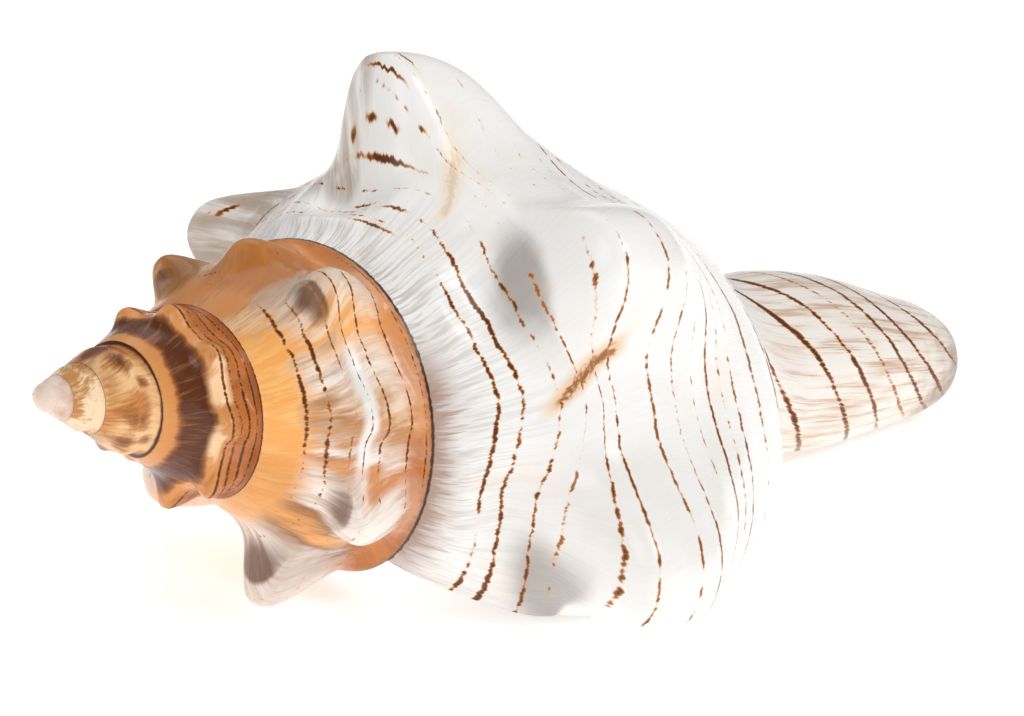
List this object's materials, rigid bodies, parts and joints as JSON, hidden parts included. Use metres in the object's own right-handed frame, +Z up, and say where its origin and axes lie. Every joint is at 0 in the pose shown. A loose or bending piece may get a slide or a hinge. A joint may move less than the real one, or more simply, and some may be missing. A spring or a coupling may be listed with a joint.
{
  "type": "conch shell",
  "caption": "Polished spiral seashell with a knobbed shoulder, open aperture and long siphonal canal, lying on its side.",
  "frame": {"origin": "bottom centre of the bounding box, on the surface that the shell rests on", "axes": "+X along the shell from the apex to the tip of the canal, +Z up, the aperture faces down"},
  "size_m": [0.1464, 0.0694, 0.0626],
  "materials": {
    "shell": "polished shell: glossy cream body, orange spire, broken brown spiral lines"
  },
  "bodies": {
    "root": {"conch_shell": "shell"}
  },
  "joints": []
}
